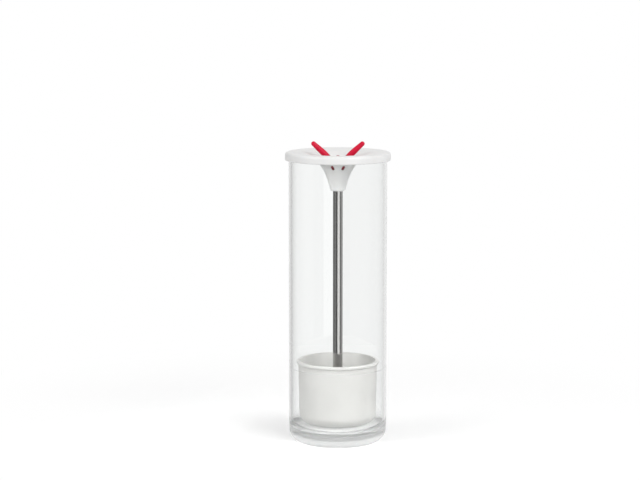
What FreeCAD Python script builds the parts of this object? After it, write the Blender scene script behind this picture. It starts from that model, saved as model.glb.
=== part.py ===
import FreeCAD, Part
import math
import os
from types import SimpleNamespace

import Sketcher

# Herb keeper, in millimetres, +Z up. The origin is the middle of the vase's foot, and the front
# faces -Y. A tall glass vase holds the water. All the rest lifts out of it as one insert: a lid
# that is a shallow dish running into a funnel, a two-armed grip, a watering tube and a basket.

SIZES = {
    # glass vase
    "vase_height": 280.0,
    "vase_radius": 47.5,
    "vase_wall": 2.8,
    "vase_floor": 14.0,
    "vase_heel_round": 12.5,  # outside corner between wall and foot
    "vase_well_round": 9.0,  # inside corner between wall and floor
    "vase_lip_round": 1.2,  # fire-polished rim
    "vase_foot_radius": 27.0,  # inside edge of the flat ring it stands on
    "vase_push_up": 1.6,  # height of the hollow under the foot
    # how the lid sits on the vase
    "seat_gap": 0.05,
    "spigot_clearance": 0.6,
    "skirt_clearance": 1.1,
    "gasket_thickness": 1.2,
    "gasket_clearance": 0.1,
    # lid: rim, skirt outside the glass and spigot inside it
    "lid_plate": 2.0,
    "lid_lip_height": 7.8,
    "lid_crown_round": 2.8,
    "lid_hem_round": 0.9,
    "lid_land": 4.5,  # flat ring at the lid's edge
    "skirt_wall": 2.4,
    "spigot_wall": 1.8,
    "spigot_depth": 5.6,
    "spigot_lead": 0.8,
    # lid: dish and funnel, measured on the upper surface
    "dish_margin": 3.3,  # spigot to the start of the bell
    "dish_fall": 0.3,
    "bell_radius": 13.84,  # where the bell meets the neck
    "bell_angle": 57.0,
    "neck_round": 47.0,
    "neck_angle": 72.0,
    "spout_length": 11.95,
    "spout_wall": 2.65,
    "spout_end_round": 2.2,
    "spout_end_wall": 0.4,
    "socket_depth": 8.6,
    # lid: the two overflow windows in front and the two behind
    "window_offset": 5.0,
    "window_depth": 14.25,  # middle of the window below the lid's top
    "window_length": 2.2,  # between the centres of its round ends
    "window_round": 1.3,
    "window_slant": 26.0,
    # watering tube and the two pieces pressed into its ends
    "tube_radius": 4.75,
    "tube_wall": 0.7,
    "tube_edge": 0.25,
    "tube_fit": 0.05,  # tube to the funnel's socket
    "plug_fit": 0.03,  # spider and plug to the tube's bore
    "outlet_radius": 1.75,
    "outlet_height": 22.0,
    "outlet_pairs": 2.0,
    "spider_length": 8.0,
    "spider_boss_radius": 2.5,
    "spider_spokes": 3.0,
    "spider_spoke_angle": 18.0,
    "plug_length": 9.0,
    # grip
    "bud_depth": 3.25,
    "bud_radius": 3.0,
    "hub_waist_radius": 3.2,
    "hub_waist_depth": 10.6,
    "hub_radius": 7.2,  # wide enough to stand behind the windows
    "hub_depth": 13.4,
    "hub_side": 2.2,
    "hub_round": 8.0,
    "stem_radius": 2.6,
    "stem_depth": 20.0,
    "rib_count": 4.0,
    "rib_width": 1.6,
    "rib_top_angle": 62.0,
    "rib_foot_angle": 70.0,
    "rib_clearance": 0.1,
    "stud_radius": 1.5,
    "stud_fit": 0.03,
    "stud_depth": 16.0,
    "stud_reach": 7.0,
    "arm_root_x": 3.2,
    "arm_root_z": -13.4,
    "arm_root_radius": 2.6,
    "arm_root_slope": 53.0,
    "arm_waist_x": 9.4,
    "arm_waist_z": -5.4,
    "arm_waist_radius": 2.8,
    "arm_waist_slope": 49.0,
    "arm_belly_x": 15.4,
    "arm_belly_z": 0.45,
    "arm_belly_radius": 2.95,
    "arm_belly_slope": 44.0,
    "arm_tip_x": 23.45,
    "arm_tip_z": 7.9,
    "arm_tip_radius": 2.35,
    "arm_tip_slope": 42.0,
    # basket
    "basket_gap": 4.5,  # below the basket
    "basket_height": 61.5,
    "basket_radius": 38.4,
    "basket_taper": 1.0,
    "basket_wall": 1.6,
    "basket_floor": 2.0,
    "basket_corner": 10.0,
    "basket_lip_reach": 1.6,
    "basket_lip_height": 3.4,
    "basket_lip_round": 1.3,
    "boss_wall": 2.3,
    "boss_height": 12.0,
    "boss_fit": 0.1,
    "recess_radius": 9.0,
    "recess_height": 3.6,
    "drain_count": 12.0,
    "drain_middle": 20.0,
    "drain_length": 9.0,
    "drain_round": 1.5,
    # screw that holds the basket on the tube
    "screw_radius": 2.0,
    "screw_fit": 0.05,
    "screw_hole_clearance": 0.3,
    "screw_grip": 7.0,
    "screw_head_radius": 4.0,
    "screw_head_height": 2.6,
    "screw_head_round": 1.6,
    "washer_radius": 6.0,
    "washer_thickness": 0.8,
    "washer_clearance": 0.15,
    "key_across": 2.5,  # hexagon socket, flat to flat
    "key_depth": 1.6,
}


class Size:
    """A number together with the sheet formula that it comes from."""

    def __init__(self, value, formula):
        self.value = value
        self.formula = formula

    def __add__(self, other):
        return combine(self, other, "+", self.value + number(other))

    def __sub__(self, other):
        return combine(self, other, "-", self.value - number(other))

    def __mul__(self, other):
        return combine(self, other, "*", self.value * number(other))

    def __truediv__(self, other):
        return combine(self, other, "/", self.value / number(other))

    def __neg__(self):
        return Size(-self.value, f"(-{self.formula})")


def number(item):
    return item.value if isinstance(item, Size) else item


def combine(left, right, sign, value):
    right_text = right.formula if isinstance(right, Size) else str(right)
    return Size(value, f"({left.formula} {sign} {right_text})")


def sine(angle):
    return Size(math.sin(math.radians(angle.value)), f"sin({angle.formula} * 1 deg)")


def cosine(angle):
    return Size(math.cos(math.radians(angle.value)), f"cos({angle.formula} * 1 deg)")


doc = FreeCAD.newDocument("herb_keeper")
sheet = doc.addObject("Spreadsheet::Sheet", "Sizes")
for row, (alias, amount) in enumerate(SIZES.items(), 1):
    sheet.set(f"A{row}", alias)
    sheet.set(f"B{row}", str(amount))
    sheet.setAlias(f"B{row}", alias)
doc.recompute()

s = SimpleNamespace(**{alias: Size(amount, f"Sizes.{alias}") for alias, amount in SIZES.items()})
ZERO = Size(0.0, "0")
FULL_TURN = Size(360.0, "360")
HALF_TURN = FULL_TURN / 2
LEFT, RIGHT = 1, -1  # which way an arc turns as the outline is walked


# ---------------------------------------------------------------- sketches and features


def new_body(label, height=ZERO):
    """A body for one piece, lifted to its height above the foot."""
    body = doc.addObject("PartDesign::Body", label)
    body.Label = label
    body.Placement.Base.z = height.value
    body.setExpression("Placement.Base.z", height.formula)
    return body


def origin_item(body, role):
    return next(item for item in body.Origin.OriginFeatures if item.Role == role)


def new_sketch(body, name, role):
    sketch = body.newObject("Sketcher::SketchObject", name)
    sketch.AttachmentSupport = [(origin_item(body, role), "")]
    sketch.MapMode = "FlatFace"
    return sketch


def drive(sketch, kind, target, size):
    """Adds a dimension to the sketch and ties it to the sheet."""
    index = sketch.addConstraint(Sketcher.Constraint(kind, *target, size.value))
    sketch.setExpression(f"Constraints[{index}]", size.formula)


def fix_point(sketch, curve, end, x, y):
    """Places one point of a curve from the sketch's origin."""
    for kind, size, axis in (("DistanceX", x, -2), ("DistanceY", y, -1)):
        if size is ZERO:
            sketch.addConstraint(Sketcher.Constraint("PointOnObject", curve, end, axis))
        else:
            drive(sketch, kind, (-1, 1, curve, end), size)


def arc_between(start, end, radius, turn):
    """The short arc from start to end, turning left or right."""
    chord = end - start
    lift = math.sqrt(max(radius**2 - chord.Length**2 / 4, 0.0))
    side = FreeCAD.Vector(-chord.y, chord.x).normalize() * lift * turn
    centre = (start + end) / 2 + side
    first, last = (start, end) if turn == LEFT else (end, start)
    angles = [math.atan2(point.y - centre.y, point.x - centre.x) for point in (first, last)]
    circle = Part.Circle(centre, FreeCAD.Vector(0, 0, 1), radius)
    return Part.ArcOfCircle(circle, *angles)


def outline(body, name, role, corners):
    """A closed sketch. A corner is (x, y), reached by a line, or (x, y, radius, turn), by an arc."""
    sketch = new_sketch(body, name, role)
    curves = []
    for here, there in zip([corners[-1]] + corners[:-1], corners):
        start = FreeCAD.Vector(here[0].value, here[1].value)
        end = FreeCAD.Vector(there[0].value, there[1].value)
        if len(there) == 2:
            curves.append((sketch.addGeometry(Part.LineSegment(start, end)), 1, 2))
            continue
        radius, turn = there[2:]
        index = sketch.addGeometry(arc_between(start, end, radius.value, turn))
        curves.append((index, 1, 2) if turn == LEFT else (index, 2, 1))
        drive(sketch, "Radius", (index,), radius)
    for (curve, _, end), (following, start, _), corner in zip(curves, curves[1:] + curves[:1], corners):
        sketch.addConstraint(Sketcher.Constraint("Coincident", curve, end, following, start))
        fix_point(sketch, curve, end, corner[0], corner[1])
    return sketch


def circle(body, name, role, radius, x=ZERO, y=ZERO):
    sketch = new_sketch(body, name, role)
    centre = FreeCAD.Vector(x.value, y.value)
    sketch.addGeometry(Part.Circle(centre, FreeCAD.Vector(0, 0, 1), radius.value))
    fix_point(sketch, 0, 3, x, y)
    drive(sketch, "Radius", (0,), radius)
    return sketch


def add_slot(sketch, first, last, radius):
    """A round-ended slot between two centres, drawn into a sketch."""
    a = FreeCAD.Vector(first[0].value, first[1].value)
    b = FreeCAD.Vector(last[0].value, last[1].value)
    side = FreeCAD.Vector(a.y - b.y, b.x - a.x).normalize() * radius.value
    heading = math.atan2(b.y - a.y, b.x - a.x)
    up = FreeCAD.Vector(0, 0, 1)
    half_turn = math.pi / 2
    near_end = Part.ArcOfCircle(
        Part.Circle(a, up, radius.value), heading + half_turn, heading + 3 * half_turn
    )
    far_end = Part.ArcOfCircle(
        Part.Circle(b, up, radius.value), heading - half_turn, heading + half_turn
    )
    near = sketch.addGeometry(near_end)
    low = sketch.addGeometry(Part.LineSegment(a - side, b - side))
    far = sketch.addGeometry(far_end)
    high = sketch.addGeometry(Part.LineSegment(b + side, a + side))
    for joint in ((near, 2, low, 1), (low, 2, far, 1), (far, 2, high, 1), (high, 2, near, 1)):
        sketch.addConstraint(Sketcher.Constraint("Tangent", *joint))
    sketch.addConstraint(Sketcher.Constraint("Equal", near, far))
    fix_point(sketch, near, 3, *first)
    fix_point(sketch, far, 3, *last)
    drive(sketch, "Radius", (near,), radius)


def revolve(body, name, sketch):
    feature = body.newObject("PartDesign::Revolution", name)
    feature.Profile = sketch
    feature.ReferenceAxis = (sketch, ["V_Axis"])
    feature.Angle = 360
    return feature


def pad(body, name, sketch, length, middle=False):
    feature = body.newObject("PartDesign::Pad", name)
    feature.Profile = sketch
    feature.Midplane = middle
    feature.Length = length.value
    feature.setExpression("Length", length.formula)
    return feature


def cut_through(body, name, sketch):
    """A pocket both ways through the whole piece."""
    feature = body.newObject("PartDesign::Pocket", name)
    feature.Profile = sketch
    feature.Type = "ThroughAll"
    feature.Midplane = True
    return feature


def bore_up(body, name, sketch, height, depth):
    """A blind pocket, upwards from the sketch's height."""
    sketch.AttachmentOffset.Base.z = height.value
    sketch.setExpression("AttachmentOffset.Base.z", height.formula)
    feature = body.newObject("PartDesign::Pocket", name)
    feature.Profile = sketch
    feature.Reversed = True
    feature.Length = depth.value
    feature.setExpression("Length", depth.formula)


def repeat_round(body, name, feature, count, angle=FULL_TURN):
    """Copies of a feature, evenly spaced about the piece's own upright axis."""
    pattern = body.newObject("PartDesign::PolarPattern", name)
    pattern.Originals = [feature]
    pattern.Axis = (origin_item(body, "Z_Axis"), [""])
    pattern.Angle = angle.value
    pattern.setExpression("Angle", angle.formula)
    pattern.Occurrences = int(count.value)
    pattern.setExpression("Occurrences", count.formula)
    body.Tip = pattern


# ---------------------------------------------------------------- heights and shared shapes

vase_bore = s.vase_radius - s.vase_wall
spigot_radius = vase_bore - s.spigot_clearance
spigot_inside = spigot_radius - s.spigot_wall
skirt_inside = s.vase_radius + s.skirt_clearance
lid_radius = skirt_inside + s.skirt_wall
gasket_top = s.vase_height + s.seat_gap + s.gasket_thickness
lid_height = gasket_top + s.lid_plate  # the lid's top plane; lid and grip measure from here

# The bell turns from level to its angle. The neck carries the turn on, with a larger radius.
bell_start = spigot_inside - s.dish_margin
bell_round = (bell_start - s.bell_radius) / sine(s.bell_angle)
bell_centre = -s.dish_fall - bell_round
neck_shift = s.neck_round - bell_round


def on_bell(angle, inset=ZERO):
    """A point of the bell's section, some way inside its upper surface."""
    radius = bell_round - inset
    return bell_start - radius * sine(angle), bell_centre + radius * cosine(angle)


def on_neck(angle, inset=ZERO):
    radius = s.neck_round - inset
    centre_x = bell_start + neck_shift * sine(s.bell_angle)
    centre_z = bell_centre - neck_shift * cosine(s.bell_angle)
    return centre_x - radius * sine(angle), centre_z + radius * cosine(angle)


spout_end = on_neck(s.neck_angle, s.lid_plate)[1] - s.spout_length
ledge = spout_end + s.socket_depth  # the tube's top edge stops here
tube_bore = s.tube_radius - s.tube_wall

basket_base = s.vase_floor + s.basket_gap
hub_floor = s.recess_height + s.basket_floor  # raised middle of the basket's floor
tube_base = basket_base + hub_floor
tube_top = lid_height + ledge


# ---------------------------------------------------------------- pieces


def make_glass_vase():
    body = new_body("glass_vase")
    hollow = (s.vase_foot_radius * s.vase_foot_radius + s.vase_push_up * s.vase_push_up) / (
        s.vase_push_up * 2
    )
    profile = outline(
        body,
        "VaseSection",
        "XZ_Plane",
        [
            (ZERO, s.vase_push_up),
            (s.vase_foot_radius, ZERO, hollow, RIGHT),
            (s.vase_radius - s.vase_heel_round, ZERO),
            (s.vase_radius, s.vase_heel_round, s.vase_heel_round, LEFT),
            (s.vase_radius, s.vase_height - s.vase_lip_round),
            (s.vase_radius - s.vase_lip_round, s.vase_height, s.vase_lip_round, LEFT),
            (vase_bore + s.vase_lip_round, s.vase_height),
            (vase_bore, s.vase_height - s.vase_lip_round, s.vase_lip_round, LEFT),
            (vase_bore, s.vase_floor + s.vase_well_round),
            (vase_bore - s.vase_well_round, s.vase_floor, s.vase_well_round, RIGHT),
            (ZERO, s.vase_floor),
        ],
    )
    revolve(body, "VaseGlass", profile)
    return body


def make_lid():
    body = new_body("lid", lid_height)
    ceiling = -s.lid_plate
    lip = -s.lid_lip_height
    spigot_end = ceiling - s.spigot_depth
    socket = s.tube_radius + s.tube_fit
    spout_radius = s.tube_radius + s.spout_wall
    profile = outline(
        body,
        "LidSection",
        "XZ_Plane",
        [
            (socket, ledge),
            (tube_bore, ledge),
            on_neck(s.neck_angle),
            (*on_neck(s.bell_angle), s.neck_round, RIGHT),
            (bell_start, -s.dish_fall, bell_round, RIGHT),
            (lid_radius - s.lid_land, ZERO),
            (lid_radius - s.lid_crown_round, ZERO),
            (lid_radius, -s.lid_crown_round, s.lid_crown_round, RIGHT),
            (lid_radius, lip + s.lid_hem_round),
            (lid_radius - s.lid_hem_round, lip, s.lid_hem_round, RIGHT),
            (skirt_inside, lip),
            (skirt_inside, ceiling),
            (spigot_radius, ceiling),
            (spigot_radius, spigot_end + s.spigot_lead),
            (spigot_radius - s.spigot_lead, spigot_end),
            (spigot_inside, spigot_end),
            (spigot_inside, ceiling - s.dish_fall),
            (bell_start, ceiling - s.dish_fall),
            (*on_bell(s.bell_angle, s.lid_plate), bell_round - s.lid_plate, LEFT),
            (*on_neck(s.neck_angle, s.lid_plate), s.neck_round - s.lid_plate, LEFT),
            (spout_radius, spout_end + s.spout_end_round),
            (socket + s.spout_end_wall, spout_end, s.spout_end_round, RIGHT),
            (socket, spout_end),
        ],
    )
    revolve(body, "LidShell", profile)

    # Two leaning slots, cut straight through from front to back.
    windows = new_sketch(body, "Windows", "XZ_Plane")
    middle = -s.window_depth
    lean = s.window_length / 2 * sine(s.window_slant)
    half = s.window_length / 2 * cosine(s.window_slant)
    top, foot = s.window_offset + lean, s.window_offset - lean
    add_slot(windows, (foot, middle - half), (top, middle + half), s.window_round)
    add_slot(windows, (-foot, middle - half), (-top, middle + half), s.window_round)
    cut_through(body, "WindowCut", windows)
    return body


def make_lid_gasket():
    body = new_body("lid_gasket", gasket_top - s.gasket_thickness)
    inside = spigot_radius + s.gasket_clearance
    outside = skirt_inside - s.gasket_clearance
    profile = outline(
        body,
        "GasketSection",
        "XZ_Plane",
        [
            (inside, ZERO),
            (outside, ZERO),
            (outside, s.gasket_thickness),
            (inside, s.gasket_thickness),
        ],
    )
    revolve(body, "GasketRing", profile)
    return body


def add_arm(body, name, side):
    """One arm: a leaf lofted through four circles, closed by a ball at its tip."""
    sections = []
    for place in ("root", "waist", "belly", "tip"):
        x, z, radius, slope = (
            getattr(s, f"arm_{place}_{part}") for part in ("x", "z", "radius", "slope")
        )
        section = circle(body, f"{name}{place.title()}", "XY_Plane", radius)
        across = x * side
        lean = -slope + 90
        section.AttachmentOffset = FreeCAD.Placement(
            FreeCAD.Vector(across.value, 0, z.value),
            FreeCAD.Rotation(FreeCAD.Vector(0, side, 0), lean.value),
        )
        section.setExpression("AttachmentOffset.Base.x", across.formula)
        section.setExpression("AttachmentOffset.Base.z", z.formula)
        section.setExpression("AttachmentOffset.Rotation.Angle", lean.formula)
        sections.append(section)
    arm = body.newObject("PartDesign::AdditiveLoft", name)
    arm.Profile = sections[0]
    arm.Sections = sections[1:]

    tip = body.newObject("PartDesign::AdditiveSphere", f"{name}Ball")
    tip.Radius = s.arm_tip_radius.value
    tip.setExpression("Radius", s.arm_tip_radius.formula)
    tip.AttachmentSupport = [(origin_item(body, "XY_Plane"), "")]
    tip.MapMode = "FlatFace"
    tip.setExpression("AttachmentOffset.Base.x", (s.arm_tip_x * side).formula)
    tip.setExpression("AttachmentOffset.Base.z", s.arm_tip_z.formula)


def make_grip():
    """Two leaf-shaped arms on a hub that ends in a stem with four ribs for the funnel."""
    body = new_body("grip", lid_height)
    profile = outline(
        body,
        "HubSection",
        "XZ_Plane",
        [
            (ZERO, -s.bud_depth),
            (s.bud_radius, -s.bud_depth - s.bud_radius, s.bud_radius, RIGHT),
            (s.hub_waist_radius, -s.hub_waist_depth),
            (s.hub_radius, -s.hub_depth, s.hub_round, LEFT),
            (s.hub_radius, -s.hub_depth - s.hub_side),
            (s.stem_radius, -s.stem_depth, s.hub_round, RIGHT),
            (s.stem_radius, ledge),
            (ZERO, ledge),
        ],
    )
    revolve(body, "Hub", profile)

    for name, side in (("LeftArm", -1), ("RightArm", 1)):
        add_arm(body, name, side)

    # Ribs that centre the stem in the funnel and leave the water four ways down.
    rib_inset = -s.rib_clearance
    top = on_neck(s.rib_top_angle, rib_inset)
    foot = on_neck(s.rib_foot_angle, rib_inset)
    rib_section = outline(
        body,
        "RibSection",
        "XZ_Plane",
        [
            (ZERO, top[1]),
            (ZERO, foot[1]),
            foot,
            (*top, s.neck_round + s.rib_clearance, RIGHT),
        ],
    )
    rib = pad(body, "Rib", rib_section, s.rib_width, middle=True)
    repeat_round(body, "Ribs", rib, s.rib_count)

    stud_hole = circle(body, "StudHole", "XY_Plane", s.stud_radius + s.stud_fit)
    bore_up(body, "StudBore", stud_hole, ledge, -ledge - s.stud_depth)
    return body


def make_grip_stud():
    """Threaded stud moulded into the grip's stem, screwed into the spider."""
    body = new_body("grip_stud", tube_top - s.stud_reach)
    length = s.stud_reach - ledge - s.stud_depth
    pad(body, "Stud", circle(body, "StudSection", "XY_Plane", s.stud_radius), length)
    return body


def make_tube():
    body = new_body("tube", tube_base)
    length = tube_top - tube_base
    profile = outline(
        body,
        "TubeSection",
        "XZ_Plane",
        [
            (tube_bore, ZERO),
            (s.tube_radius - s.tube_edge, ZERO),
            (s.tube_radius, s.tube_edge),
            (s.tube_radius, length - s.tube_edge),
            (s.tube_radius - s.tube_edge, length),
            (tube_bore, length),
        ],
    )
    revolve(body, "TubeWall", profile)
    outlet = circle(body, "Outlet", "XZ_Plane", s.outlet_radius, y=s.outlet_height)
    pair = cut_through(body, "OutletPair", outlet)
    repeat_round(body, "Outlets", pair, s.outlet_pairs, HALF_TURN - HALF_TURN / s.outlet_pairs)
    return body


def make_tube_spider():
    """Threaded boss on three spokes, pressed into the tube's top so that water runs past it."""
    body = new_body("tube_spider", tube_top - s.spider_length)
    boss = circle(body, "BossSection", "XY_Plane", s.spider_boss_radius)
    pad(body, "Boss", boss, s.spider_length)
    reach = tube_bore - s.plug_fit
    along = reach * cosine(s.spider_spoke_angle / 2)
    aside = reach * sine(s.spider_spoke_angle / 2)
    spoke_section = outline(
        body,
        "SpokeSection",
        "XY_Plane",
        [(ZERO, ZERO), (along, -aside), (along, aside, reach, LEFT)],
    )
    spoke = pad(body, "Spoke", spoke_section, s.spider_length)
    repeat_round(body, "Spokes", spoke, s.spider_spokes)
    thread = circle(body, "SpiderThread", "XY_Plane", s.stud_radius + s.stud_fit)
    cut_through(body, "SpiderBore", thread)
    return body


def make_tube_plug():
    """Threaded plug that closes the tube's lower end and takes the basket's screw."""
    body = new_body("tube_plug", tube_base)
    profile = outline(
        body,
        "PlugSection",
        "XZ_Plane",
        [
            (s.screw_radius + s.screw_fit, ZERO),
            (tube_bore - s.plug_fit, ZERO),
            (tube_bore - s.plug_fit, s.plug_length),
            (ZERO, s.plug_length),
            (ZERO, s.screw_grip + s.screw_fit),
            (s.screw_radius + s.screw_fit, s.screw_grip + s.screw_fit),
        ],
    )
    revolve(body, "Plug", profile)
    return body


def make_basket():
    """Tapered cup with a beaded lip, a socket for the tube and radial drain slots."""
    body = new_body("basket", basket_base)
    socket = s.tube_radius + s.boss_fit
    boss_radius = socket + s.boss_wall
    screw_hole = s.screw_radius + s.screw_hole_clearance
    foot_radius = s.basket_radius - s.basket_taper
    lip_radius = s.basket_radius + s.basket_lip_reach
    lip_foot = s.basket_height - s.basket_lip_height
    inner_corner = s.basket_corner - s.basket_wall
    inner_foot = foot_radius - s.basket_wall
    inner_top = s.basket_radius - s.basket_wall
    profile = outline(
        body,
        "BasketSection",
        "XZ_Plane",
        [
            (screw_hole, s.recess_height),
            (s.recess_radius, s.recess_height),
            (s.recess_radius, ZERO),
            (foot_radius - s.basket_corner, ZERO),
            (foot_radius, s.basket_corner, s.basket_corner, LEFT),
            (s.basket_radius, lip_foot),
            (lip_radius, lip_foot + s.basket_lip_reach, s.basket_lip_reach, LEFT),
            (lip_radius, s.basket_height - s.basket_lip_round),
            (lip_radius - s.basket_lip_round, s.basket_height, s.basket_lip_round, LEFT),
            (inner_top, s.basket_height),
            (inner_foot, s.basket_floor + inner_corner),
            (inner_foot - inner_corner, s.basket_floor, inner_corner, RIGHT),
            (s.recess_radius + s.basket_floor, s.basket_floor),
            (s.recess_radius + s.basket_floor, hub_floor),
            (boss_radius, hub_floor),
            (boss_radius, hub_floor + s.boss_height),
            (socket, hub_floor + s.boss_height),
            (socket, hub_floor),
            (screw_hole, hub_floor),
        ],
    )
    revolve(body, "BasketShell", profile)
    drain = new_sketch(body, "DrainSlot", "XY_Plane")
    half = s.drain_length / 2
    add_slot(drain, (s.drain_middle - half, ZERO), (s.drain_middle + half, ZERO), s.drain_round)
    slot = cut_through(body, "Drain", drain)
    repeat_round(body, "Drains", slot, s.drain_count)
    return body


def make_basket_screw():
    """Pan-head screw with a hexagon socket, driven up from below the basket."""
    head_top = basket_base + s.recess_height - s.washer_thickness
    body = new_body("basket_screw", head_top)
    height = s.washer_thickness + s.basket_floor + s.screw_grip
    profile = outline(
        body,
        "ScrewSection",
        "XZ_Plane",
        [
            (ZERO, -s.screw_head_height),
            (s.screw_head_radius - s.screw_head_round, -s.screw_head_height),
            (
                s.screw_head_radius,
                s.screw_head_round - s.screw_head_height,
                s.screw_head_round,
                LEFT,
            ),
            (s.screw_head_radius, ZERO),
            (s.screw_radius, ZERO),
            (s.screw_radius, height),
            (ZERO, height),
        ],
    )
    revolve(body, "Screw", profile)
    flat = s.key_across / 2
    point = s.key_across / math.sqrt(3)
    key = outline(
        body,
        "KeySection",
        "XY_Plane",
        [
            (flat, point / 2),
            (ZERO, point),
            (-flat, point / 2),
            (-flat, -point / 2),
            (ZERO, -point),
            (flat, -point / 2),
        ],
    )
    bore_up(body, "KeySocket", key, -s.screw_head_height, s.key_depth)
    return body


def make_basket_washer():
    body = new_body("basket_washer", basket_base + s.recess_height - s.washer_thickness)
    inside = s.screw_radius + s.washer_clearance
    profile = outline(
        body,
        "WasherSection",
        "XZ_Plane",
        [
            (inside, ZERO),
            (s.washer_radius, ZERO),
            (s.washer_radius, s.washer_thickness),
            (inside, s.washer_thickness),
        ],
    )
    revolve(body, "Washer", profile)
    return body


pieces = [
    make_glass_vase(),
    make_lid(),
    make_lid_gasket(),
    make_grip(),
    make_grip_stud(),
    make_tube(),
    make_tube_spider(),
    make_tube_plug(),
    make_basket(),
    make_basket_screw(),
    make_basket_washer(),
]
doc.recompute()

for item in doc.Objects:
    if "Invalid" in item.State or "Error" in item.State:
        raise RuntimeError(f"{item.Label} did not rebuild: {item.State}")
for piece in pieces:
    if piece.Shape.isNull() or not piece.Shape.isValid():
        raise RuntimeError(f"{piece.Label} has no valid shape")

os.makedirs("parts", exist_ok=True)
for piece in pieces:
    piece.Shape.exportStep(f"parts/{piece.Label}.step")
    print(f"{piece.Label}: {len(piece.Shape.Solids)} solid, {piece.Shape.Volume:.0f} mm3")
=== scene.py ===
import math

import bmesh
import bpy
from mathutils import Matrix, Vector


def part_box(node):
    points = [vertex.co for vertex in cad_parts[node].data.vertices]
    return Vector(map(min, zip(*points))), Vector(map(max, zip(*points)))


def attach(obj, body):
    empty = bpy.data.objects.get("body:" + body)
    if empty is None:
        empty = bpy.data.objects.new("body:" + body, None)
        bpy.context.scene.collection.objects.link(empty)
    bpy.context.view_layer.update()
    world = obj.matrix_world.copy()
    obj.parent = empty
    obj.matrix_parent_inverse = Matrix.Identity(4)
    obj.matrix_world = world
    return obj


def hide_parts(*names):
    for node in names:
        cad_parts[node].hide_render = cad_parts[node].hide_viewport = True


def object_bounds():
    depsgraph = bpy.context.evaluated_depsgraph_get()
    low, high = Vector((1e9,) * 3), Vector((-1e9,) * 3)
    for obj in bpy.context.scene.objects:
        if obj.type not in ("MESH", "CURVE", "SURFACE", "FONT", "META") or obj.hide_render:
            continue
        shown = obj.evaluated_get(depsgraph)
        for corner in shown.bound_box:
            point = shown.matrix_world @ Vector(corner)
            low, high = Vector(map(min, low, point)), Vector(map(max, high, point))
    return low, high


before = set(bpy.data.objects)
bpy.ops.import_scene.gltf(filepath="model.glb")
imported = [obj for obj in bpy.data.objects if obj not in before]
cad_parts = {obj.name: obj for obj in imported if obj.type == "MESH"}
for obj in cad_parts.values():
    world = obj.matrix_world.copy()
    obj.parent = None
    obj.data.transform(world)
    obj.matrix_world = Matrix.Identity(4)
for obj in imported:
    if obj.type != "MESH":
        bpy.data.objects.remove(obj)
cadLow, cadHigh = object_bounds()
mm = 0.001  # pieces are drawn in millimetres, then scaled once
quarterTurn = 90.0  # degrees
slotPoints = 48  # round both ends of a slot cutter
layBack = Matrix.Rotation(math.radians(quarterTurn), 4, "X")  # turns a cutter's depth from Z to Y
print("frame loaded,", len(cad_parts), "nodes")


def nodeBox(name):
    low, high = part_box(name)
    return low / mm, high / mm


# Sections are drawn in the XZ plane and turned about Z.

turning = {
    "steps": 192,  # round the whole turn
    "arcStep": 5.0,  # degrees
    "longLine": 5.0,  # longer lines get a point near each end, which keeps the shading flat
    "guard": 0.5,  # how far from the end that point stands
    "sharp": 42.0,  # degrees, above which an edge stays crisp
    "weld": 0.0005,
}


def drawSection(bm, start, moves, closed=True):
    # a move is (x, z), straight there, or (x, z, angle), a turn about that centre
    first = last = bm.verts.new((start[0], 0, start[1]))
    for move in moves:
        if len(move) == 2:
            target = Vector((move[0], 0, move[1]))
            way = target - last.co
            step = way.normalized() * turning["guard"]
            stops = [last.co + step, target - step] if way.length > turning["longLine"] else []
            for stop in stops + [target]:
                following = bm.verts.new(stop)
                bm.edges.new((last, following))
                last = following
        else:
            turned = bmesh.ops.spin(
                bm,
                geom=[last],
                cent=(move[0], 0, move[1]),
                axis=(0, -1, 0),
                angle=math.radians(move[2]),
                steps=math.ceil(abs(move[2]) / turning["arcStep"]),
                use_duplicate=False,
            )
            last = turned["geom_last"][0]
    if closed:
        bm.edges.new((last, first))


def turnSection(bm, steps=turning["steps"]):
    bmesh.ops.remove_doubles(bm, verts=bm.verts, dist=turning["weld"])
    bmesh.ops.spin(
        bm,
        geom=bm.verts[:] + bm.edges[:],
        cent=(0, 0, 0),
        axis=(0, 0, 1),
        angle=math.tau,
        steps=steps,
        use_merge=True,
        use_duplicate=False,
    )
    bmesh.ops.remove_doubles(bm, verts=bm.verts, dist=turning["weld"])
    bmesh.ops.recalc_face_normals(bm, faces=bm.faces)


def meshObject(bm, name):
    mesh = bpy.data.meshes.new(name)
    bm.to_mesh(mesh)
    bm.free()
    piece = bpy.data.objects.new(name, mesh)
    bpy.context.scene.collection.objects.link(piece)
    return piece


def applyModifiers(piece):
    shaped = piece.evaluated_get(bpy.context.evaluated_depsgraph_get())
    mesh = bpy.data.meshes.new_from_object(shaped)
    piece.modifiers.clear()
    piece.data = mesh


def cutAway(piece, cutter):
    cut = piece.modifiers.new("cut", "BOOLEAN")
    cut.operation = "DIFFERENCE"
    cut.solver = "EXACT"
    cut.object = cutter
    applyModifiers(piece)
    bpy.data.objects.remove(cutter)


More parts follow.
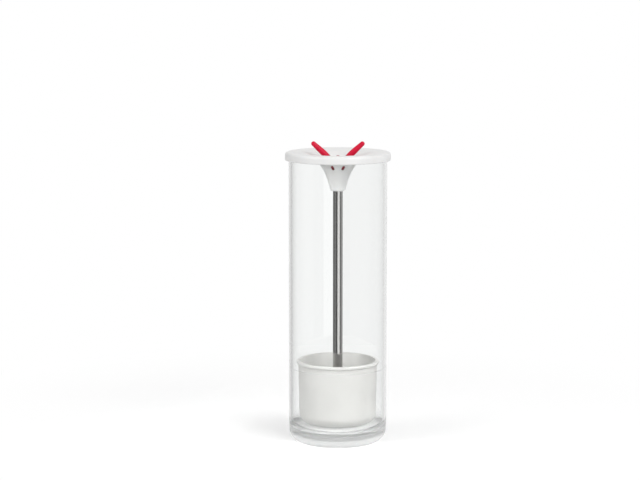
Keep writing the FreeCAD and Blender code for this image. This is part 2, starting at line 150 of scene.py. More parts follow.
def slotCutter(name, length, radius, depth, place, copies=1):
    # a round-ended bar along Z with its length along X, then moved by place and repeated round Z
    bm = bmesh.new()
    rim = bmesh.ops.create_circle(bm, cap_ends=True, segments=slotPoints, radius=radius)["verts"]
    for side in (-1, 1):
        half = [v for v in rim if v.co.x * side > 0]
        bmesh.ops.translate(bm, verts=half, vec=(side * length / 2, 0, 0))
    grown = bmesh.ops.extrude_face_region(bm, geom=bm.faces[:])
    lifted = [v for v in grown["geom"] if isinstance(v, bmesh.types.BMVert)]
    bmesh.ops.translate(bm, verts=lifted, vec=(0, 0, depth))
    bmesh.ops.translate(bm, verts=bm.verts, vec=(0, 0, -depth / 2))
    bmesh.ops.transform(bm, matrix=place, verts=bm.verts)
    bmesh.ops.recalc_face_normals(bm, faces=bm.faces)
    if copies > 1:
        bmesh.ops.spin(
            bm,
            geom=bm.verts[:] + bm.edges[:] + bm.faces[:],
            cent=(0, 0, 0),
            axis=(0, 0, 1),
            angle=math.tau * (copies - 1) / copies,
            steps=copies - 1,
            use_duplicate=True,
        )
    return meshObject(bm, name)


def finishPiece(piece, body, slot, material, *nodes):
    mesh = piece.data
    mesh.transform(Matrix.Scale(mm, 4))
    mesh.materials.clear()
    mesh.materials.append(material)
    mesh.shade_smooth()
    mesh.set_sharp_from_angle(angle=math.radians(turning["sharp"]))
    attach(piece, body)
    if nodes:
        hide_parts(*nodes)
    print("made", piece.name, len(mesh.polygons), "faces")


# Finishes

def newMaterial(name):
    material = bpy.data.materials.new(name)
    material.use_nodes = True
    nodes = material.node_tree.nodes
    return material, nodes, material.node_tree.links, nodes["Principled BSDF"]


noiseSpan = {"low": 0.3, "high": 0.7}  # nearly all of a noise lies between these


def addNoise(nodes, links, scale, detail, stretch=(1, 1, 1)):
    place = nodes.new("ShaderNodeTexCoord")
    mapping = nodes.new("ShaderNodeMapping")
    mapping.inputs["Scale"].default_value = stretch
    noise = nodes.new("ShaderNodeTexNoise")
    noise.inputs["Scale"].default_value = scale
    noise.inputs["Detail"].default_value = detail
    links.new(place.outputs["Object"], mapping.inputs["Vector"])
    links.new(mapping.outputs["Vector"], noise.inputs["Vector"])
    return noise.outputs["Fac"]


def addRange(nodes, links, value, low, high):
    spread = nodes.new("ShaderNodeMapRange")
    spread.inputs["From Min"].default_value = noiseSpan["low"]
    spread.inputs["From Max"].default_value = noiseSpan["high"]
    spread.inputs["To Min"].default_value = low
    spread.inputs["To Max"].default_value = high
    links.new(value, spread.inputs["Value"])
    return spread.outputs["Result"]


def addTint(nodes, links, value, dark, light):
    ramp = nodes.new("ShaderNodeValToRGB")
    first, last = ramp.color_ramp.elements
    first.position, first.color = noiseSpan["low"], (*dark, 1)
    last.position, last.color = noiseSpan["high"], (*light, 1)
    links.new(value, ramp.inputs["Fac"])
    return ramp.outputs["Color"]


def addFade(nodes, links, value, start, end, low=0.0, high=1.0):
    fade = nodes.new("ShaderNodeMapRange")
    fade.interpolation_type = "SMOOTHSTEP"
    fade.inputs["From Min"].default_value = start
    fade.inputs["From Max"].default_value = end
    fade.inputs["To Min"].default_value = low
    fade.inputs["To Max"].default_value = high
    links.new(value, fade.inputs["Value"])
    return fade.outputs["Result"]


def addReach(nodes, links, height=0.0):
    # distance from the point of the upright axis at this height
    place = nodes.new("ShaderNodeTexCoord")
    middle = nodes.new("ShaderNodeMapping")
    middle.inputs["Location"].default_value = (0, 0, -height)
    links.new(place.outputs["Object"], middle.inputs["Vector"])
    reach = nodes.new("ShaderNodeVectorMath")
    reach.operation = "LENGTH"
    links.new(middle.outputs["Vector"], reach.inputs[0])
    return reach.outputs["Value"]


def addBump(nodes, links, shader, height, strength, distance, under=None):
    bump = nodes.new("ShaderNodeBump")
    bump.inputs["Strength"].default_value = strength
    bump.inputs["Distance"].default_value = distance
    links.new(height, bump.inputs["Height"])
    if under:
        links.new(under, bump.inputs["Normal"])
    links.new(bump.outputs["Normal"], shader.inputs["Normal"])
    return bump.outputs["Normal"]


def addGrain(nodes, links, shader, finish, under=None):
    grain = addNoise(nodes, links, finish["grainScale"], finish["grainDetail"])
    addBump(nodes, links, shader, grain, finish["grainStrength"], finish["grainHeight"], under)


def addSurface(nodes, links, shader, finish):
    # one noise varies both the colour and the roughness
    noise = addNoise(nodes, links, finish["scale"], finish["detail"], finish.get("stretch", (1, 1, 1)))
    tint = addTint(nodes, links, noise, finish["dark"], finish["light"])
    links.new(tint, shader.inputs["Base Color"])
    spread = addRange(nodes, links, noise, finish["roughnessLow"], finish["roughnessHigh"])
    links.new(spread, shader.inputs["Roughness"])
    return noise, tint


def setSubsurface(shader, finish):
    shader.inputs["Subsurface Weight"].default_value = finish["subsurface"]
    shader.inputs["Subsurface Radius"].default_value = finish["subsurfaceRadius"]
    shader.inputs["Subsurface Scale"].default_value = finish["subsurfaceScale"]


glassFinish = {
    "color": (0.994, 1.0, 0.997),
    "ior": 1.47,
    "absorbColor": (0.62, 0.70, 0.68),
    "density": 1.0,  # per metre
    "baseTop": 0.026,  # metres above the foot, where the glass is fully clear
    "baseClarity": 0.45,  # the heavy pressed base is a little milky, the wall is clear
    "wallClarity": 1.0,
    "baseRoughness": 0.02,
    "wallRoughness": 0.0,
}


def makeGlass():
    material, nodes, links, shader = newMaterial("clearGlass")
    shader.inputs["Base Color"].default_value = (*glassFinish["color"], 1)
    shader.inputs["IOR"].default_value = glassFinish["ior"]
    place = nodes.new("ShaderNodeTexCoord")
    split = nodes.new("ShaderNodeSeparateXYZ")
    links.new(place.outputs["Object"], split.inputs["Vector"])
    changes = {
        "Transmission Weight": (glassFinish["baseClarity"], glassFinish["wallClarity"]),
        "Roughness": (glassFinish["baseRoughness"], glassFinish["wallRoughness"]),
    }
    for socket, (low, high) in changes.items():
        change = addFade(nodes, links, split.outputs["Z"], 0.0, glassFinish["baseTop"], low, high)
        links.new(change, shader.inputs[socket])
    absorb = nodes.new("ShaderNodeVolumeAbsorption")
    absorb.inputs["Color"].default_value = (*glassFinish["absorbColor"], 1)
    absorb.inputs["Density"].default_value = glassFinish["density"]
    links.new(absorb.outputs["Volume"], nodes["Material Output"].inputs["Volume"])
    return material


etchedFinish = {
    "color": (0.84, 0.85, 0.84),
    "alpha": 0.22,
    "roughnessLow": 0.6,
    "roughnessHigh": 0.8,
    "grainScale": 2500.0,
    "grainDetail": 2.0,
}


def makeEtched():
    material, nodes, links, shader = newMaterial("etchedMark")
    grain = addNoise(nodes, links, etchedFinish["grainScale"], etchedFinish["grainDetail"])
    low, high = etchedFinish["roughnessLow"], etchedFinish["roughnessHigh"]
    links.new(addRange(nodes, links, grain, low, high), shader.inputs["Roughness"])
    shader.inputs["Base Color"].default_value = (*etchedFinish["color"], 1)
    shader.inputs["Alpha"].default_value = etchedFinish["alpha"]
    return material


whiteFinish = {
    "dark": (0.80, 0.80, 0.79),
    "light": (0.86, 0.86, 0.855),
    "scale": 35.0,
    "detail": 3.0,
    "roughnessLow": 0.30,
    "roughnessHigh": 0.42,
    "subsurface": 0.12,
    "subsurfaceRadius": (0.004, 0.0036, 0.0032),
    "subsurfaceScale": 1.0,
    "flowScale": 60.0,
    "flowDetail": 1.0,
    "flowStrength": 0.15,
    "flowHeight": 0.0002,
    "grainScale": 1600.0,
    "grainDetail": 1.0,
    "grainStrength": 0.25,
    "grainHeight": 0.00004,
}


def makeWhitePlastic():
    material, nodes, links, shader = newMaterial("whiteMoulding")
    addSurface(nodes, links, shader, whiteFinish)
    setSubsurface(shader, whiteFinish)
    flow = addNoise(nodes, links, whiteFinish["flowScale"], whiteFinish["flowDetail"])
    strength, height = whiteFinish["flowStrength"], whiteFinish["flowHeight"]
    addGrain(nodes, links, shader, whiteFinish, addBump(nodes, links, shader, flow, strength, height))
    return material


crimsonFinish = {
    "dark": (0.62, 0.004, 0.036),
    "light": (0.72, 0.006, 0.045),
    "scale": 90.0,
    "detail": 3.0,
    "paintedShade": (0.26, 0.001, 0.014),  # painted shade: the grip's middle, down in the funnel, is coloured darker than the arms
    "shadeHeight": 0.270,
    "shadeReach": 0.0115,
    "plainReach": 0.0150,
    "gloss": 0.25,
    "roughnessLow": 0.36,
    "roughnessHigh": 0.46,
    "grainScale": 2200.0,
    "grainDetail": 1.0,
    "grainStrength": 0.25,
    "grainHeight": 0.00003,
}


def makeCrimsonPlastic():
    material, nodes, links, shader = newMaterial("crimsonMoulding")
    tint = addSurface(nodes, links, shader, crimsonFinish)[1]
    # painted shade: near the axis at the hub's height the crimson turns dark, standing in for the
    # funnel's shade
    reach = addReach(nodes, links, crimsonFinish["shadeHeight"])
    litShare = addFade(nodes, links, reach, crimsonFinish["shadeReach"], crimsonFinish["plainReach"])
    blend = nodes.new("ShaderNodeMix")
    blend.data_type = "RGBA"
    blend.inputs["A"].default_value = (*crimsonFinish["paintedShade"], 1)
    links.new(litShare, blend.inputs["Factor"])
    links.new(tint, blend.inputs["B"])
    links.new(blend.outputs["Result"], shader.inputs["Base Color"])  # in place of the plain tint, with painted shade at the middle
    shader.inputs["Specular IOR Level"].default_value = crimsonFinish["gloss"]
    addGrain(nodes, links, shader, crimsonFinish)
    return material


steelFinish = {
    "metallic": 1.0,
    "dark": (0.60, 0.59, 0.58),
    "light": (0.70, 0.69, 0.68),
    "scale": 900.0,
    "detail": 3.0,
    "stretch": (1, 1, 0.012),  # drawn lines run along the tube
    "roughnessLow": 0.07,
    "roughnessHigh": 0.14,
    "bumpStrength": 0.2,
    "bumpHeight": 0.00001,
}

turnedFinish = {
    "metallic": 1.0,
    "dark": (0.42, 0.42, 0.43),
    "light": (0.58, 0.58, 0.59),
    "scale": 700.0,
    "detail": 2.0,
    "stretch": (0.05, 0.05, 1),  # tool marks run round the axis
    "roughnessLow": 0.24,
    "roughnessHigh": 0.36,
    "bumpStrength": 0.3,
    "bumpHeight": 0.00002,
}


def makeSteel(name, finish):
    material, nodes, links, shader = newMaterial(name)
    shader.inputs["Metallic"].default_value = finish["metallic"]
    lines = addSurface(nodes, links, shader, finish)[0]
    addBump(nodes, links, shader, lines, finish["bumpStrength"], finish["bumpHeight"])
    return material


frostedFinish = {
    "dark": (0.74, 0.735, 0.715),
    "light": (0.80, 0.795, 0.775),
    "scale": 28.0,
    "detail": 2.0,
    "roughnessLow": 0.48,
    "roughnessHigh": 0.60,
    "transmission": 0.18,
    "ior": 1.49,
    "grainScale": 3000.0,
    "grainDetail": 1.0,
    "grainStrength": 0.3,
    "grainHeight": 0.00003,
}


def makeFrostedPlastic():
    material, nodes, links, shader = newMaterial("frostedPlastic")
    addSurface(nodes, links, shader, frostedFinish)
    shader.inputs["Transmission Weight"].default_value = frostedFinish["transmission"]
    shader.inputs["IOR"].default_value = frostedFinish["ior"]
    addGrain(nodes, links, shader, frostedFinish)
    return material


siliconeFinish = {
    "dark": (0.72, 0.72, 0.71),
    "light": (0.78, 0.78, 0.77),
    "scale": 60.0,
    "detail": 2.0,
    "roughnessLow": 0.52,
    "roughnessHigh": 0.66,
    "subsurface": 0.25,
    "subsurfaceRadius": (0.003, 0.003, 0.003),
    "subsurfaceScale": 1.0,
}


def makeSilicone():
    material, nodes, links, shader = newMaterial("softSilicone")
    addSurface(nodes, links, shader, siliconeFinish)
    setSubsurface(shader, siliconeFinish)
    return material


glass = makeGlass()
etched = makeEtched()
whitePlastic = makeWhitePlastic()
crimsonPlastic = makeCrimsonPlastic()
tubeSteel = makeSteel("polishedSteel", steelFinish)
turnedSteel = makeSteel("turnedSteel", turnedFinish)
frostedPlastic = makeFrostedPlastic()
silicone = makeSilicone()
print("finishes ready")


# Vase: a tall tube of glass with a heavy rounded foot

vase = {
    "wall": 2.8,
    "floor": 14.0,
    "heelRound": 12.5,
    "wellRound": 9.0,
    "lipRound": 1.2,
    "footRadius": 27.0,
    "pushUp": 1.6,
    "steps": 256,
}


def makeVase():
    high = nodeBox("glass_vase")[1]
    radius, height = high.x, high.z
    bore = radius - vase["wall"]
    heel, well, lip = vase["heelRound"], vase["wellRound"], vase["lipRound"]
    foot, rise = vase["footRadius"], vase["pushUp"]
    hollow = (foot**2 + rise**2) / (2 * rise)  # radius of the shallow hollow under the foot
    bm = bmesh.new()
    drawSection(
        bm,
        (0, rise),
        [
            (0, rise - hollow, -math.degrees(math.asin(foot / hollow))),
            (radius - heel, 0),
            (radius - heel, heel, quarterTurn),
            (radius, height - lip),
            (radius - lip, height - lip, quarterTurn),
            (bore + lip, height),
            (bore + lip, height - lip, quarterTurn),
            (bore, vase["floor"] + well),
            (bore - well, vase["floor"] + well, -quarterTurn),
            (0, vase["floor"]),
        ],
        closed=False,
    )
    turnSection(bm, vase["steps"])
    piece = meshObject(bm, "glassVase")
    finishPiece(piece, "vase", "clear_glass", glass, "glass_vase")
    piece.visible_shadow = False  # light falls through the glass onto what stands in it


makeVase()


# Fill mark: a fine etched ring that shows how high the water may stand

fillMark = {
    "height": 74.0,
    "width": 0.45,
    "inside": 0.01,  # how far its two faces stand off the glass
    "outside": 0.03,
}


def makeFillMark():
    radius = nodeBox("glass_vase")[1].x
    low = fillMark["height"] - fillMark["width"] / 2
    high = low + fillMark["width"]
    inside, outside = radius + fillMark["inside"], radius + fillMark["outside"]
    bm = bmesh.new()
    drawSection(bm, (inside, low), [(outside, low), (outside, high), (inside, high)])
    turnSection(bm, vase["steps"])
    finishPiece(meshObject(bm, "fillMark"), "vase", "clear_glass", etched)


makeFillMark()


# Lid: a rim that sits over the glass, a shallow dish and a funnel with a socket for the tube

lid = {
    "plate": 2.0,
    "lipHeight": 7.8,
    "crownRound": 2.8,
    "hemRound": 0.9,
    "land": 4.5,
    "skirtWall": 2.4,
    "spigotRadius": 44.1,
    "spigotWall": 1.8,
    "spigotDepth": 5.6,
    "spigotLead": 0.8,
    "bellStart": 39.0,
    "dishFall": 0.3,
    "bellEnd": 13.84,
    "bellAngle": 57.0,
    "neckRound": 47.0,
    "neckAngle": 72.0,
    "throat": 4.05,
    "socket": 4.8,
    "socketDepth": 8.6,
    "spoutRadius": 7.4,
    "spoutRound": 2.2,
}


def makeLidShell():
    low, high = nodeBox("lid")
    radius, top, spoutEnd = high.x, high.z, low.z
    ceiling = top - lid["plate"]
    hem = top - lid["lipHeight"]
    skirt = radius - lid["skirtWall"]
    crown, edge = lid["crownRound"], lid["hemRound"]
    spigot = lid["spigotRadius"]
    inner = spigot - lid["spigotWall"]
    spigotEnd = ceiling - lid["spigotDepth"]
    ledge = spoutEnd + lid["socketDepth"]
    start, fall = lid["bellStart"], lid["dishFall"]

    bend = math.radians(lid["bellAngle"])
    bellRound = (start - lid["bellEnd"]) / math.sin(bend)
    bellX, bellZ = start, top - fall - bellRound  # centre of the bell's arc
    shift = lid["neckRound"] - bellRound
    neckX, neckZ = bellX + shift * math.sin(bend), bellZ - shift * math.cos(bend)
    more = lid["neckAngle"] - lid["bellAngle"]
    steep = math.radians(lid["neckAngle"])
    neckFoot = (neckX - lid["neckRound"] * math.sin(steep), neckZ + lid["neckRound"] * math.cos(steep))
    spout, spoutRound = lid["spoutRadius"], lid["spoutRound"]

    bm = bmesh.new()
    drawSection(
        bm,
        (lid["socket"], ledge),
        [
            (lid["throat"], ledge),
            neckFoot,
            (neckX, neckZ, -more),
            (bellX, bellZ, -lid["bellAngle"]),
            (radius - lid["land"], top),
            (radius - crown, top),
            (radius - crown, top - crown, -quarterTurn),
            (radius, hem + edge),
            (radius - edge, hem + edge, -quarterTurn),
            (skirt, hem),
            (skirt, ceiling),
            (spigot, ceiling),
            (spigot, spigotEnd + lid["spigotLead"]),
            (spigot - lid["spigotLead"], spigotEnd),
            (inner, spigotEnd),
            (inner, ceiling - fall),
            (bellX, ceiling - fall),
            (bellX, bellZ, lid["bellAngle"]),
            (neckX, neckZ, more),
            (spout, spoutEnd + spoutRound),
            (spout - spoutRound, spoutEnd + spoutRound, -quarterTurn),
            (lid["socket"], spoutEnd),
        ],
    )
    turnSection(bm)
    return meshObject(bm, "lidShell")


windows = {
    "offset": 5.0,
    "below": 14.25,
    "length": 2.2,
    "round": 1.3,
    "slant": 26.0,
    "depth": 80.0,  # one cut goes through front and back
}


def makeLid():
    shell = makeLidShell()
    middle = nodeBox("lid")[1].z - windows["below"]
    for side in (-1, 1):
        slant = side * windows["slant"] - quarterTurn
        lean = Matrix.Rotation(math.radians(slant), 4, "Y")
        move = Matrix.Translation((side * windows["offset"], 0, middle))
        place = move @ lean @ layBack
        cutter = slotCutter("windowCutter", windows["length"], windows["round"], windows["depth"], place)
        cutAway(shell, cutter)
    finishPiece(shell, "insert", "white_plastic", whitePlastic, "lid")


makeLid()


# Grip: two leaf-shaped arms that grow out of a hub, a round bud between them, and a ribbed stem

grip = {
    "budDepth": 3.25,
    "budRadius": 3.0,
    "waistRadius": 3.2,
    "waistDepth": 10.6,
    "hubRadius": 7.2,
    "hubTop": 13.4,
    "hubFoot": 15.6,
    "hubBend": (6.1, 17.9),  # reach and depth where the hub curves in to the stem
    "stemRadius": 2.6,
    "stemDepth": 20.0,
    "ribCount": 4,
    "ribWidth": 1.6,
    "ribTop": (11.5, 17.6),  # reach and depth of a rib's outer corners
    "ribFoot": (8.9, 23.5),
    "arms": [  # reach, height over the lid's top and radius, from root to tip
        (3.2, -13.4, 2.6),
        (9.4, -5.4, 2.8),
        (15.4, 0.45, 2.95),
        (23.45, 7.9, 2.35),
    ],
    "armRing": 8,  # fineness round an arm
    "armSteps": 16,  # between two points along it
    "tipSteps": 4,  # subdivisions of the ball at its tip
    "hubSteps": 96,
    "voxel": 0.24,
    "smoothing": 6,
    "smoothShare": 0.5,
}


def addArm(bm, side, top):
    curve = bpy.data.curves.new("armLine", "CURVE")
    curve.dimensions = "3D"
    curve.bevel_depth = 1.0  # the points' own radii scale this
    curve.bevel_resolution = grip["armRing"]
    curve.use_fill_caps = True
    curve.resolution_u = grip["armSteps"]
    line = curve.splines.new("BEZIER")
    line.radius_interpolation = "CARDINAL"
    line.bezier_points.add(len(grip["arms"]) - 1)
    for point, (reach, height, radius) in zip(line.bezier_points, grip["arms"]):
        point.co = (side * reach, 0, top + height)
        point.radius = radius
        point.handle_left_type = point.handle_right_type = "AUTO"
    arm = bpy.data.objects.new("armLine", curve)
    mesh = bpy.data.meshes.new_from_object(arm)
    bm.from_mesh(mesh)
    bpy.data.objects.remove(arm)
    bpy.data.meshes.remove(mesh)
    reach, height, radius = grip["arms"][-1]
    bmesh.ops.create_icosphere(
        bm,
        subdivisions=grip["tipSteps"],
        radius=radius,
        matrix=Matrix.Translation((side * reach, 0, top + height)),
    )


def addHub(bm, top, foot):
    bud = grip["budRadius"]
    bendReach, bendDepth = grip["hubBend"]
    drawSection(
        bm,
        (0, top - grip["budDepth"]),
        [
            (0, top - grip["budDepth"] - bud, -quarterTurn),
            (grip["waistRadius"], top - grip["waistDepth"]),
            (grip["hubRadius"], top - grip["hubTop"]),
            (grip["hubRadius"], top - grip["hubFoot"]),
            (bendReach, top - bendDepth),
            (grip["stemRadius"], top - grip["stemDepth"]),
            (grip["stemRadius"], foot),
            (0, foot),
        ],
        closed=False,
    )
    turnSection(bm, grip["hubSteps"])


def addRib(bm, turn, top, foot):
    # a thin upright web from the stem out to the funnel's wall
    half = grip["ribWidth"] / 2
    (topReach, topDepth), (footReach, footDepth) = grip["ribTop"], grip["ribFoot"]
    corners = [
        (0, top - topDepth),
        (topReach, top - topDepth),
        (footReach, top - footDepth),
        (0, top - footDepth),
    ]
    rim = [bm.verts.new((x, -half, z)) for x, z in corners]
    grown = bmesh.ops.extrude_face_region(bm, geom=[bm.faces.new(rim)])
    moved = [v for v in grown["geom"] if isinstance(v, bmesh.types.BMVert)]
    bmesh.ops.translate(bm, verts=moved, vec=(0, grip["ribWidth"], 0))
    bmesh.ops.rotate(bm, verts=rim + moved, cent=(0, 0, 0), matrix=Matrix.Rotation(turn, 3, "Z"))


def makeGrip():
    top = nodeBox("lid")[1].z
    foot = nodeBox("grip")[0].z
    bm = bmesh.new()
    addHub(bm, top, foot)
    for side in (-1, 1):
        addArm(bm, side, top)
    for number in range(grip["ribCount"]):
        addRib(bm, math.tau * number / grip["ribCount"], top, foot)
    bmesh.ops.recalc_face_normals(bm, faces=bm.faces)
    piece = meshObject(bm, "grip")
    blend = piece.modifiers.new("blend", "REMESH")
    blend.mode = "VOXEL"
    blend.voxel_size = grip["voxel"]
    applyModifiers(piece)
    bm = bmesh.new()
    bm.from_mesh(piece.data)
    for _ in range(grip["smoothing"]):
        bmesh.ops.smooth_vert(
            bm,
            verts=bm.verts,
            factor=grip["smoothShare"],
            use_axis_x=True,
            use_axis_y=True,
            use_axis_z=True,
        )
    bm.to_mesh(piece.data)
    bm.free()
    piece.name = "gripArms"
    finishPiece(piece, "insert", "red_plastic", crimsonPlastic, "grip")


makeGrip()


# Watering tube, with four outlets low down

tube = {
    "wall": 0.7,
    "edge": 0.25,
    "outletRadius": 1.75,
    "outletHeight": 22.0,
    "outletDepth": 4.0,  # times the tube's radius, so one cut goes through both walls
    "outletTurns": (0.0, 90.0),
    "steps": 96,
}


def makeTube():
    low, high = nodeBox("tube")
    radius, edge = high.x, tube["edge"]
    bore = radius - tube["wall"]
    bm = bmesh.new()
    drawSection(
        bm,
        (bore, low.z),
        [
            (radius - edge, low.z),
            (radius, low.z + edge),
            (radius, high.z - edge),
            (radius - edge, high.z),
            (bore, high.z),
        ],
    )
    turnSection(bm, tube["steps"])
    piece = meshObject(bm, "wateringTube")
    depth = radius * tube["outletDepth"]
    move = Matrix.Translation((0, 0, low.z + tube["outletHeight"]))
    for turn in tube["outletTurns"]:
        across = Matrix.Rotation(math.radians(turn), 4, "Z")
        cutter = slotCutter("outletCutter", 0.0, tube["outletRadius"], depth, across @ move @ layBack)
        cutAway(piece, cutter)
    finishPiece(piece, "insert", "stainless_steel", tubeSteel, "tube")


makeTube()


# Basket: a frosted cup with a beaded lip, radial drain slots and a socket for the tube

basket = {
    "radius": 38.4,
    "taper": 1.0,
    "wall": 1.6,
    "floor": 2.0,
    "corner": 10.0,
    "lipReach": 1.6,
    "lipHeight": 3.4,
    "lipRound": 1.3,
    "recessRadius": 9.0,
    "recessHeight": 3.6,
    "socket": 4.85,
    "bossWall": 2.3,
    "bossHeight": 12.0,
    "screwHole": 2.3,
    "drainCount": 12,
    "drainMiddle": 20.0,
    "drainLength": 9.0,
    "drainRound": 1.5,
}


def makeBasket():
    low, high = nodeBox("basket")
    base, top = low.z, high.z
    wall, corner = basket["wall"], basket["corner"]
    outside = basket["radius"]
    footRadius = outside - basket["taper"]
    lip, lipRound = outside + basket["lipReach"], basket["lipRound"]
    lipFoot = top - basket["lipHeight"]
    innerCorner = corner - wall
    floorTop = base + basket["floor"]
    hub = base + basket["recessHeight"] + basket["floor"]
    step = basket["recessRadius"] + basket["floor"]
    boss = basket["socket"] + basket["bossWall"]
    bm = bmesh.new()
    drawSection(
        bm,
        (basket["screwHole"], base + basket["recessHeight"]),
        [
            (basket["recessRadius"], base + basket["recessHeight"]),
            (basket["recessRadius"], base),
            (footRadius - corner, base),
            (footRadius - corner, base + corner, quarterTurn),
            (outside, lipFoot),
            (outside, lipFoot + basket["lipReach"], quarterTurn),
            (lip, top - lipRound),
            (lip - lipRound, top - lipRound, quarterTurn),
            (outside - wall, top),
            (footRadius - wall, floorTop + innerCorner),
            (footRadius - wall - innerCorner, floorTop + innerCorner, -quarterTurn),
            (step, floorTop),
            (step, hub),
            (boss, hub),
            (boss, hub + basket["bossHeight"]),
            (basket["socket"], hub + basket["bossHeight"]),
            (basket["socket"], hub),
            (basket["screwHole"], hub),
        ],
    )
    turnSection(bm)
    piece = meshObject(bm, "basketCup")
    move = Matrix.Translation((basket["drainMiddle"], 0, base + basket["floor"] / 2))
    cutter = slotCutter(
        "drainCutter",
        basket["drainLength"],
        basket["drainRound"],
        basket["floor"] * 2,
        move,
        basket["drainCount"],
    )
    cutAway(piece, cutter)
    finishPiece(piece, "insert", "frosted_plastic", frostedPlastic, "basket")


makeBasket()


# The hidden pieces keep their own solids

keptNodes = {
    "lid_gasket": silicone,
    "grip_stud": turnedSteel,
    "tube_spider": turnedSteel,
    "tube_plug": turnedSteel,
    "basket_screw": turnedSteel,
    "basket_washer": turnedSteel,
}
for name, material in keptNodes.items():
    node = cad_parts[name]
    node.data.materials.clear()
    node.data.materials.append(material)
print("kept nodes finished")


# Studio: pale floor, white surround, soft lamps and a banded screen that only reflections see

studio = {
    "floorSize": 12.0,
    "floorDrop": 0.0002,
    "floorColor": (0.80, 0.80, 0.80),
    "lift": 0.34,  # extra light of the floor for the rays named below
    "fadeFrom": 0.10,  # metres from the vase's middle, where the floor starts to fade to white
    "fadeTo": 0.50,
    "worldLight": 0.42,
    "worldWhite": 1.0,  # what the rays named below see
    "whiteRays": ("Is Camera Ray", "Is Glossy Ray", "Is Transmission Ray"),
}


def bareMaterial(name):
    material = bpy.data.materials.new(name)
    material.use_nodes = True
    nodes, links = material.node_tree.nodes, material.node_tree.links
    nodes.clear()
    return material, nodes, links, nodes.new("ShaderNodeOutputMaterial")


def addMath(nodes, links, operation, value, other):
    # other is a number or another node's output
    step = nodes.new("ShaderNodeMath")
    step.operation = operation
    links.new(value, step.inputs[0])
    if isinstance(other, float):
        step.inputs[1].default_value = other
    else:
        links.new(other, step.inputs[1])
    return step.outputs["Value"]


def whitePath(nodes, links):
    # 1 where any of the rays that are to see white asks
    path = nodes.new("ShaderNodeLightPath")
    first, *others = (path.outputs[name] for name in studio["whiteRays"])
    total = first
    for output in others:
        total = addMath(nodes, links, "MAXIMUM", total, output)
    return total


def makeFloor():
    bm = bmesh.new()
    bmesh.ops.create_grid(bm, x_segments=1, y_segments=1, size=studio["floorSize"])
    bmesh.ops.translate(bm, verts=bm.verts, vec=(0, 0, -studio["floorDrop"]))
    floor = meshObject(bm, "floor")
    material, nodes, links, output = bareMaterial("paleFloor")
    paper = nodes.new("ShaderNodeBsdfDiffuse")
    paper.inputs["Color"].default_value = (*studio["floorColor"], 1)
    asked = whitePath(nodes, links)
    lift = nodes.new("ShaderNodeEmission")
    links.new(addMath(nodes, links, "MULTIPLY", asked, studio["lift"]), lift.inputs["Strength"])
    near = nodes.new("ShaderNodeAddShader")
    links.new(paper.outputs["BSDF"], near.inputs[0])
    links.new(lift.outputs["Emission"], near.inputs[1])
    fade = addFade(nodes, links, addReach(nodes, links), studio["fadeFrom"], studio["fadeTo"])
    white = nodes.new("ShaderNodeEmission")
    total = nodes.new("ShaderNodeMixShader")
    links.new(addMath(nodes, links, "MULTIPLY", fade, asked), total.inputs["Fac"])
    links.new(near.outputs["Shader"], total.inputs[1])
    links.new(white.outputs["Emission"], total.inputs[2])
    links.new(total.outputs["Shader"], output.inputs["Surface"])
    floor.data.materials.append(material)


def makeWorld():
    world = bpy.data.worlds.new("studio")
    bpy.context.scene.world = world
    world.use_nodes = True
    nodes, links = world.node_tree.nodes, world.node_tree.links
    background = nodes["Background"]
    background.inputs["Color"].default_value = (1, 1, 1, 1)
    strength = nodes.new("ShaderNodeMapRange")
    strength.inputs["To Min"].default_value = studio["worldLight"]
    strength.inputs["To Max"].default_value = studio["worldWhite"]
    links.new(whitePath(nodes, links), strength.inputs["Value"])
    links.new(strength.outputs["Result"], background.inputs["Strength"])


lamps = {  # place, size in metres, watts
    "keyLamp": ((1.1, -1.3, 1.5), 0.9, 20.0),
    "topLamp": ((0.0, 0.1, 1.7), 1.0, 2.0),
    "fillLamp": ((-1.5, -0.9, 1.0), 0.9, 9.0),
    "lowLamp": ((0.2, -1.7, 0.35), 1.0, 3.5),
}


def makeLamps(target):
    for name, (place, size, watts) in lamps.items():
        light = bpy.data.lights.new(name, "AREA")
        light.size = size
        light.energy = watts
        lamp = bpy.data.objects.new(name, light)
        lamp.location = place
        lamp.rotation_euler = (target - Vector(place)).to_track_quat("-Z", "Y").to_euler()
        bpy.context.scene.collection.objects.link(lamp)


screen = {
    "radius": 0.10,
    "height": 0.62,
    "steps": 96,
    "surfaces": 2.5,  # a ray from inside the vase has come through more surfaces of glass than this
    "backShare": 0.5,  # the bands' shares of the turn go from the front round by the left
    # share and brightness
    "soft": [
        (0.00, 0.45),
        (0.10, 0.60),
        (0.33, 0.60),
        (0.40, 0.95),
        (0.60, 0.95),
        (0.70, 0.75),
        (0.90, 0.45),
        (1.00, 0.45),
    ],
    "banded": [
        (0.000, 1.15),
        (0.012, 1.15),
        (0.024, 0.03),
        (0.092, 0.03),
        (0.105, 0.22),
        (0.200, 0.22),
        (0.215, 0.15),
        (0.340, 0.15),
        (0.400, 0.40),
        (0.600, 0.50),
        (0.660, 0.42),
        (0.775, 0.42),
        (0.790, 0.17),
        (0.870, 0.17),
        (0.884, 1.15),
        (1.000, 1.15),
    ],
}


def addBands(nodes, links, share, bands):
    ramp = nodes.new("ShaderNodeValToRGB")
    while len(ramp.color_ramp.elements) < len(bands):
        ramp.color_ramp.elements.new(0.5)  # moved to its own place below
    for element, (position, level) in zip(ramp.color_ramp.elements, bands):
        element.position = position
        element.color = (level, level, level, 1)
    links.new(share, ramp.inputs["Fac"])
    return ramp.outputs["Color"]


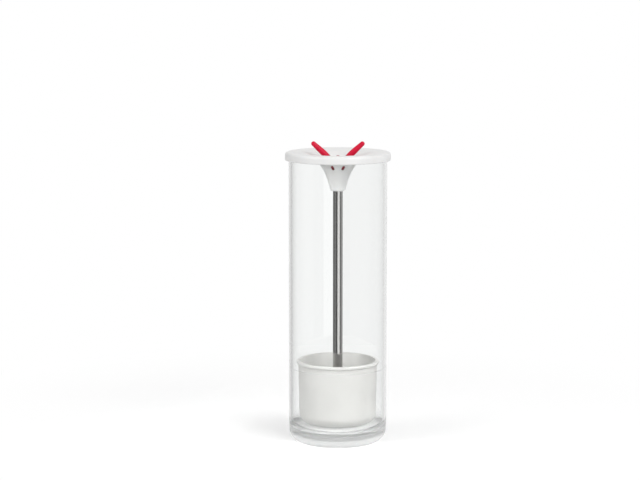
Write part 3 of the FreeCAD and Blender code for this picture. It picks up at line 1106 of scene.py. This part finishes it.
def makeScreen():
    # what is seen through the vase's wall reflects crisp bands, all else reflects soft ones
    bm = bmesh.new()
    bottom = bm.verts.new((0, -screen["radius"], 0))
    top = bm.verts.new((0, -screen["radius"], screen["height"]))
    bm.edges.new((bottom, top))
    turnSection(bm, screen["steps"])
    wall = meshObject(bm, "reflectionScreen")
    material, nodes, links, output = bareMaterial("bandedScreen")
    place = nodes.new("ShaderNodeTexCoord")
    split = nodes.new("ShaderNodeSeparateXYZ")
    links.new(place.outputs["Object"], split.inputs["Vector"])
    bearing = addMath(nodes, links, "ARCTAN2", split.outputs["X"], split.outputs["Y"])
    share = nodes.new("ShaderNodeMath")
    share.operation = "MULTIPLY_ADD"
    share.inputs[1].default_value = 1 / math.tau
    share.inputs[2].default_value = screen["backShare"]
    links.new(bearing, share.inputs[0])
    path = nodes.new("ShaderNodeLightPath")
    behind = addMath(nodes, links, "GREATER_THAN", path.outputs["Transmission Depth"], screen["surfaces"])
    level = nodes.new("ShaderNodeMix")
    level.data_type = "RGBA"
    links.new(behind, level.inputs["Factor"])
    for socket, bands in {"A": screen["soft"], "B": screen["banded"]}.items():
        links.new(addBands(nodes, links, share.outputs["Value"], bands), level.inputs[socket])
    glow = nodes.new("ShaderNodeEmission")
    links.new(level.outputs["Result"], glow.inputs["Color"])
    clear = nodes.new("ShaderNodeBsdfTransparent")
    choose = nodes.new("ShaderNodeMixShader")
    links.new(path.outputs["Glossy Depth"], choose.inputs["Fac"])
    links.new(clear.outputs["BSDF"], choose.inputs[1])
    links.new(glow.outputs["Emission"], choose.inputs[2])
    links.new(choose.outputs["Shader"], output.inputs["Surface"])
    wall.data.materials.append(material)
    wall.visible_camera = False
    wall.visible_diffuse = False
    wall.visible_shadow = False


shot = {
    "distance": 1.95,
    "height": 0.467,
    "focal": 2033.0,  # pixels of a 640 pixel wide frame
    "frameWidth": 640.0,
    "offset": (18.0, 53.0),  # where the object's middle stands, right of and below the frame's middle
    "sensor": 36.0,
    "clipStart": 0.05,
}


def makeCamera():
    data = bpy.data.cameras.new("camera")
    data.sensor_width = shot["sensor"]
    data.lens = shot["focal"] / shot["frameWidth"] * shot["sensor"]
    camera = bpy.data.objects.new("camera", data)
    middle = (cadLow + cadHigh) / 2
    camera.location = (0, -shot["distance"], shot["height"])
    across, down = (amount / shot["focal"] * shot["distance"] for amount in shot["offset"])
    aim = middle + Vector((-across, 0, down))
    camera.rotation_euler = (aim - camera.location).to_track_quat("-Z", "Y").to_euler()
    data.clip_start = shot["clipStart"]
    bpy.context.scene.collection.objects.link(camera)
    bpy.context.scene.camera = camera


makeFloor()
makeWorld()
makeLamps((cadLow + cadHigh) / 2)
makeScreen()
makeCamera()
bpy.context.scene.view_settings.view_transform = "Standard"
print("studio ready")
